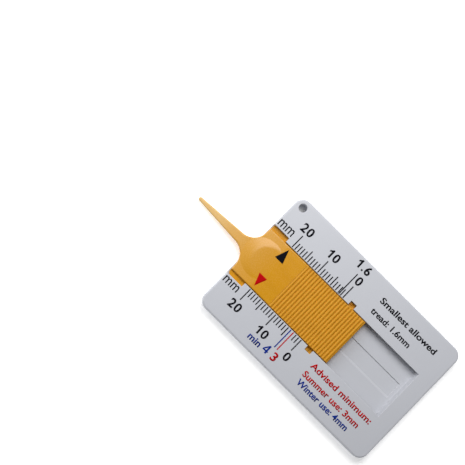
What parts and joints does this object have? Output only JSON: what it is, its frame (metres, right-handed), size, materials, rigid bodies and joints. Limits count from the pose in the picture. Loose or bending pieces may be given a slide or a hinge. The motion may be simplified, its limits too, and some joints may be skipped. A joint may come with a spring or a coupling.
{
  "type": "tire tread gauge",
  "caption": "Card-shaped tread depth gauge: a flat slotted plastic card with printed millimetre scales and a ribbed slider whose tapered probe extends past the reading edge.",
  "frame": {"origin": "centre of the card's flat back face", "axes": "+X along the card from the reading edge to the closed end, the way the slider retracts; +Y across the card towards the edge with the keyring hole; +Z out of the printed face"},
  "size_m": [0.0835, 0.0416, 0.0037],
  "materials": {
    "card_plastic": "light grey-white moulded plastic, satin gloss",
    "slider_plastic": "orange-yellow moulded plastic, gloss",
    "black_ink": "black pad-printing ink",
    "red_ink": "red pad-printing ink",
    "blue_ink": "blue pad-printing ink"
  },
  "bodies": {
    "card": {"card_body": "card_plastic", "upper_scale_ink": "black_ink", "lower_scale_ink": "black_ink", "summer_limit_ink": "red_ink", "winter_limit_ink": "blue_ink"},
    "slider": {"slider_body": "slider_plastic", "upper_pointer_ink": "black_ink", "lower_pointer_ink": "red_ink"}
  },
  "joints": [
    {"name": "slider_travel", "type": "slide", "parent": "card", "child": "slider", "axis": [1, 0, 0], "range_m": [0, 0.02]}
  ]
}
